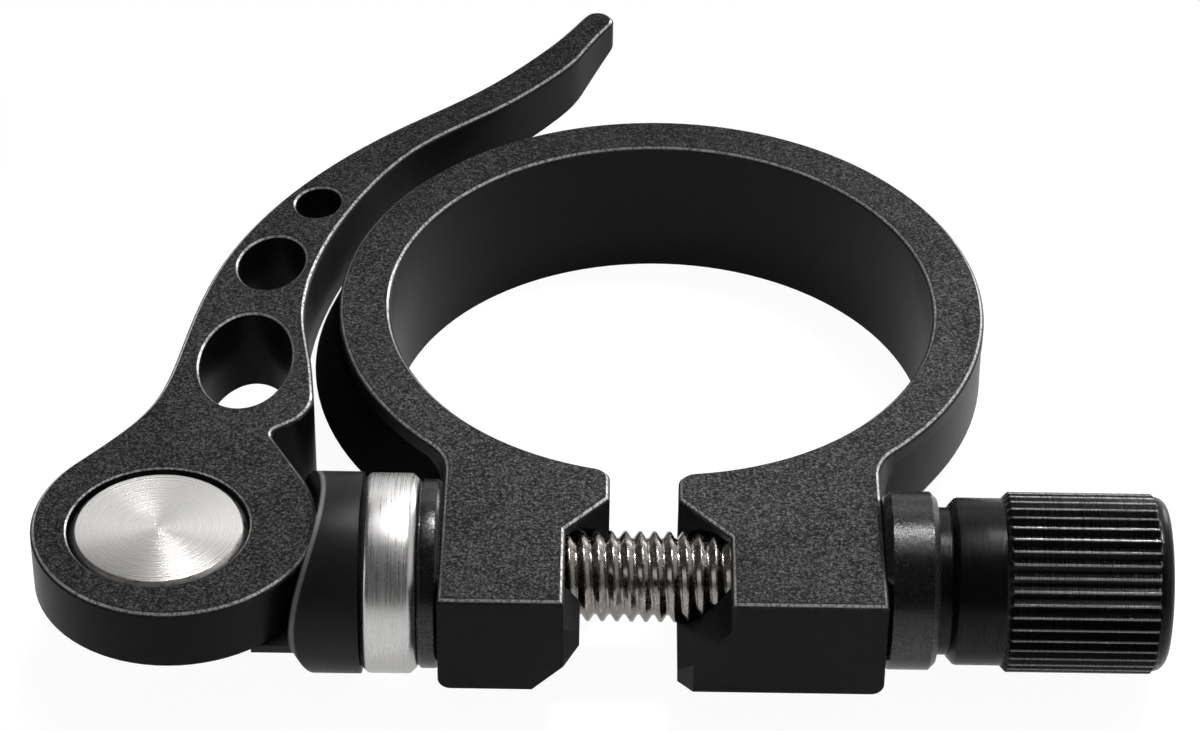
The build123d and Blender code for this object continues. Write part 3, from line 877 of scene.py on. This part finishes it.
@dataclass
class AdjustingNut:
    """The knurled nut and its washer."""

    hole_radius: float = 2.55 * MM
    end_wall: float = 1.6 * MM
    boss_length: float = 0.7 * MM
    boss_radius: float = 4.05 * MM
    neck_length: float = 2.8 * MM
    neck_radius: float = 4.6 * MM
    neck_edge: float = 0.4 * MM
    neck_bend: tuple[float, float] = (0.8, 0.12)
    neck_run: float = 1.2
    knurl_length: float = 8.75 * MM
    knurl_radius: float = 4.95 * MM
    knurl_depth: float = 0.32 * MM
    knurl_edge: float = 0.45 * MM
    knurl_start: float = 0.7
    rim_radius: float = 4.8 * MM
    rim_round: float = 0.75 * MM
    rim_steps: int = 6
    ridges: int = 42
    crest_degrees: float = 0.42
    crest_height: float = 0.06 * MM
    crest_top: float = 0.01 * MM

    def bearings(self) -> list[float]:
        """Spaces the points round the nut: a root and both sides of a crest for each ridge.

        Returns:
            The turn of each point in radians.
        """
        pitch = 360.0 / self.ridges
        steps = (0.0, pitch / 2 - self.crest_degrees, pitch / 2 + self.crest_degrees)
        return [math.radians(ridge * pitch + step) for ridge in range(self.ridges) for step in steps]

    def stations(self, length: float) -> list[tuple[float, float, float]]:
        """The nut's outside and its hole as a row of rings.

        Args:
            length: The nut's whole length.

        Returns:
            For each ring its place along the bolt, its radius at the crests and its radius at the roots.
        """
        neck = self.boss_length
        knurl = neck + self.neck_length
        rim = knurl + self.knurl_length
        root = self.knurl_radius - self.knurl_depth
        rise = root - (self.knurl_radius - self.knurl_edge)
        plain = [(length - self.end_wall, self.hole_radius), (0.0, self.hole_radius), (0.0, self.boss_radius),
                 (neck, self.boss_radius), (neck, self.neck_radius - self.neck_edge),
                 (neck + self.neck_bend[0] * self.neck_edge,
                  self.neck_radius - self.neck_bend[1] * self.neck_edge),
                 (neck + self.neck_run * self.neck_edge, self.neck_radius),
                 (knurl + self.knurl_start * rise, self.neck_radius), (knurl + rise, root)]
        rings = [(far, radius, radius) for far, radius in plain]
        rings += [(knurl + self.knurl_edge, self.knurl_radius, root),
                  (rim - self.knurl_edge, self.knurl_radius, root)]
        for step in range(self.rim_steps + 1):
            turn = math.pi / 2 * step / self.rim_steps
            far = length - self.rim_round * (1 - math.sin(turn))
            reach = self.rim_radius - self.rim_round * (1 - math.cos(turn))
            rings.append((far, reach, reach))
        return rings

    def shell(self, start: Vector, length: float) -> bmesh.types.BMesh:
        """Draws the nut out of one circle, ring by ring.

        Args:
            start: The centre of its left end.
            length: Its whole length.

        Returns:
            The closed shape.
        """
        turns = self.bearings()
        bm = bmesh.new()
        loop = bmesh.ops.create_circle(bm, cap_ends=True, segments=len(turns), radius=self.hole_radius)["verts"]
        edges = list({edge for vert in loop for edge in vert.link_edges})
        for count, (far, crest, root) in enumerate(self.stations(length)):
            if count:
                drawn = bmesh.ops.extrude_edge_only(bm, edges=edges)["geom"]
                edges = [part for part in drawn if isinstance(part, bmesh.types.BMEdge)]
                ends = [part for part in drawn if isinstance(part, bmesh.types.BMVert)]
                edges = [edge for edge in edges if all(vert in ends for vert in edge.verts)]
                near = {edge.other_vert(vert): vert for vert in ends for edge in vert.link_edges
                        if edge.other_vert(vert) in loop}
                loop = [near[vert] for vert in loop]
            for number, vert in enumerate(loop):
                reach = crest if number % 3 else root
                turn = turns[number]
                vert.co = start + Vector((far, reach * math.sin(turn), reach * math.cos(turn)))
        bmesh.ops.edgeloop_fill(bm, edges=edges)
        bmesh.ops.recalc_face_normals(bm, faces=bm.faces)
        return bm

    def build(self, maker: Maker) -> None:
        """Makes the nut and dresses its washer.

        Args:
            maker: What makes pieces and finishes.
        """
        start, length, _ = bolt_span("adjusting_nut")
        centre = (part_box("adjusting_nut")[0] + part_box("adjusting_nut")[1]) / 2
        # The nut's crest band: partly worn bare metal, partly a painted highlight on the ridges.
        worn_and_highlit = (self.knurl_radius - self.crest_height, self.knurl_radius - self.crest_top)
        finish = SmoothAnodise("black_knurled_anodise", specular=0.14, axis=(centre.y, centre.z),
                               crest_reach=worn_and_highlit)
        maker.settle(self.shell(start, length), "knurled_nut", Body.NUT, "adjusting_nut", finish)
        maker.dress("nut_washer", GLOSS)


@dataclass(frozen=True)
class Lamp:
    """A soft rectangular lamp, whose face shows as white at a glow of 1."""

    name: str
    place: tuple[float, float, float]
    size: tuple[float, float]
    glow: float
    aim: tuple[float, float, float] = (0.0, 0.0, 0.0)
    spread: float = 180.0

    def hang(self) -> None:
        """Hangs the lamp with its face towards its aim and its beam as wide as its spread in degrees."""
        data = bpy.data.lights.new(self.name, "AREA")
        data.shape = "RECTANGLE"
        data.size, data.size_y = self.size
        data.energy = self.glow * math.pi * self.size[0] * self.size[1]
        data.spread = math.radians(self.spread)
        lamp = bpy.data.objects.new(self.name, data)
        lamp.location = self.place
        lamp.rotation_mode = "QUATERNION"
        lamp.rotation_quaternion = (Vector(self.aim) - Vector(self.place)).to_track_quat("-Z", "Y")
        bpy.context.scene.collection.objects.link(lamp)


LAMPS = (
    Lamp("back_bank", (0.05, 0.555, 0.426), (0.9, 0.24), 0.8),
    Lamp("overhead_softbox", (0.04, 0.06, 0.6), (0.34, 0.34), 1.75),
    Lamp("near_spot", (0.12, 0.09, 0.37), (0.05, 0.05), 1.5, aim=(0.014, -0.011, 0.0), spread=9.0),
    Lamp("head_spot", (0.02, 0.09, 0.37), (0.05, 0.05), 0.45, aim=(-0.022, -0.014, 0.0), spread=8.0),
    Lamp("right_strip", (0.37, 0.46, 0.09), (0.14, 0.22), 7.0),
    Lamp("left_strip", (-0.5, -0.25, 0.16), (0.2, 0.3), 1.2),
)


@dataclass
class Studio:
    """A white floor, soft lamps and the camera of the photograph."""

    elevation: float = 37.5
    roll: float = 0.85
    distance: float = 238.5 * MM
    target: tuple[float, float, float] = (-3.55 * MM, 0.0, -0.40 * MM)
    focal_pixels: float = 4014.0
    picture_width: float = 1200.0
    sensor: float = 36.0
    near_clip: float = 0.01
    floor_reach: float = 3.0
    floor_sides: int = 96
    floor_share: float = 0.88
    mirrored_share: float = 0.52
    floor_colour: Colour = grey(0.85)
    floor_glow: float = 1.08
    bright_side: tuple[float, float, float] = (0.75, 0.6, 0.0)
    sky_span: tuple[float, float] = (-0.1, 0.8)
    sky_levels: tuple[float, float] = (0.08, 0.7)
    lamps: tuple[Lamp, ...] = LAMPS

    def camera(self) -> None:
        """Sets the camera at the photograph's angle."""
        lens = bpy.data.cameras.new("studio_camera")
        lens.sensor_width = self.sensor
        lens.lens = self.focal_pixels * self.sensor / self.picture_width
        lens.clip_start = self.near_clip
        rise, tilt = math.radians(self.elevation), math.radians(self.roll)
        back = Vector((0.0, -math.cos(rise), math.sin(rise)))
        across = Vector((1.0, 0.0, 0.0))
        up = back.cross(across)
        right = across * math.cos(tilt) + up * math.sin(tilt)
        up = back.cross(right)
        place = Matrix((right, up, back)).transposed().to_4x4()
        place.translation = Vector(self.target) + back * self.distance
        camera = bpy.data.objects.new("studio_camera", lens)
        camera.matrix_world = place
        bpy.context.scene.collection.objects.link(camera)
        bpy.context.scene.camera = camera

    def floor(self, level: float) -> None:
        """Lays a white floor that shows soft shadows.

        Args:
            level: The floor's height.
        """
        bm = bmesh.new()
        bmesh.ops.create_circle(bm, cap_ends=True, segments=self.floor_sides, radius=self.floor_reach,
                                matrix=Matrix.Translation((0.0, 0.0, level)))
        mesh = bpy.data.meshes.new("studio_floor")
        bm.to_mesh(mesh)
        bm.free()
        material = bpy.data.materials.new("white_floor")
        material.use_nodes = True
        material.node_tree.nodes.clear()
        graph = Graph(material.node_tree)
        matt = graph.add("ShaderNodeBsdfDiffuse", {"Color": self.floor_colour})
        glow = graph.add("ShaderNodeEmission", {"Color": grey(1.0), "Strength": self.floor_glow})
        rays = graph.add("ShaderNodeLightPath").outputs
        mirrored = graph.math("MAXIMUM", rays["Is Glossy Ray"], rays["Is Transmission Ray"])
        share = graph.math("MAXIMUM", graph.math("MULTIPLY", rays["Is Camera Ray"], self.floor_share),
                           graph.math("MULTIPLY", mirrored, self.mirrored_share))
        both = graph.add("ShaderNodeMixShader", {0: share, 1: matt.outputs[0], 2: glow.outputs[0]})
        graph.add("ShaderNodeOutputMaterial", {"Surface": both.outputs[0]})
        mesh.materials.append(material)
        floor = bpy.data.objects.new("studio_floor", mesh)
        bpy.context.scene.collection.objects.link(floor)

    def world(self) -> None:
        """Makes the surroundings: white behind the clamp, dimmer on the camera's side."""
        world = bpy.data.worlds.new("studio_world")
        world.use_nodes = True
        world.node_tree.nodes.clear()
        graph = Graph(world.node_tree)
        direction = graph.add("ShaderNodeTexCoord").outputs["Generated"]
        towards = graph.add("ShaderNodeVectorMath", {0: direction, 1: self.bright_side},
                            operation="DOT_PRODUCT")
        level = graph.remap(towards.outputs["Value"], *self.sky_span, *self.sky_levels)
        rays = graph.add("ShaderNodeLightPath").outputs
        seen = graph.math("MAXIMUM", rays["Is Camera Ray"], rays["Is Transmission Ray"])
        strength = graph.math("MAXIMUM", seen, level)
        glow = graph.add("ShaderNodeBackground", {"Color": grey(1.0), "Strength": strength})
        graph.add("ShaderNodeOutputWorld", {"Surface": glow.outputs[0]})
        bpy.context.scene.world = world

    def build(self) -> None:
        """Sets up the whole studio."""
        scene = bpy.context.scene
        scene.view_settings.view_transform = "Standard"
        self.camera()
        self.floor(CAD_BOX[0].z)
        for lamp in self.lamps:
            lamp.hang()
        self.world()


def main() -> None:
    """Builds every sub-assembly, then the studio."""
    logging.basicConfig(level=logging.INFO, format="%(name)s: %(message)s")
    maker = Maker(EffectLibrary())
    Collar().dress(maker)
    CamLever().build(maker)
    StudStack().build(maker)
    AdjustingNut().build(maker)
    Studio().build()


if __name__ == "__main__":
    main()
